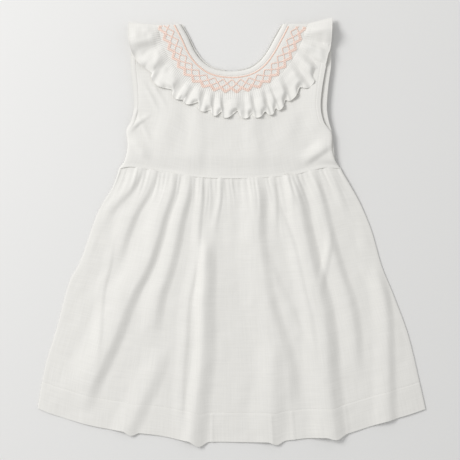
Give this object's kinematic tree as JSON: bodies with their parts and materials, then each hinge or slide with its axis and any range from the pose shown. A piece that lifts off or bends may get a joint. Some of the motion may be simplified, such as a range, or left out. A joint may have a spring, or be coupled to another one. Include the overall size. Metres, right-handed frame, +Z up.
{
  "type": "toddler dress",
  "caption": "Sleeveless toddler's dress laid flat, with a smocked ruffle collar, a plain bodice buttoned at the back and a gathered A-line skirt.",
  "frame": {"origin": "centre of the dress's outline, on the surface that it lies on", "axes": "+Z up from the surface through back and front, +Y towards the neck, +X to the viewer's right, which is the wearer's left"},
  "size_m": [0.484, 0.5352, 0.0168],
  "materials": {
    "bodice_cotton": "matt slubby white cotton",
    "skirt_cotton": "matt slubby white cotton",
    "ruffle_cotton": "matt slubby white cotton, single layer",
    "binding_cotton": "matt white cotton cut on the bias",
    "smocked_cotton": "white cotton pleated fine and held by embroidery",
    "coral_thread": "coral embroidery thread with a soft sheen",
    "shell_button": "pearly white"
  },
  "bodies": {
    "root": {"skirt_front": "skirt_cotton", "skirt_back": "skirt_cotton", "bodice_front": "bodice_cotton", "bodice_back_left": "bodice_cotton", "bodice_back_right": "bodice_cotton", "neck_binding_front": "binding_cotton", "neck_binding_back_left": "binding_cotton", "neck_binding_back_right": "binding_cotton", "smocked_band_front": "smocked_cotton", "smocked_band_back_left": "smocked_cotton", "smocked_band_back_right": "smocked_cotton", "ruffle_front": "ruffle_cotton", "ruffle_back_left": "ruffle_cotton", "ruffle_back_right": "ruffle_cotton", "button_1": "shell_button", "button_2": "shell_button", "button_3": "shell_button"}
  },
  "joints": []
}
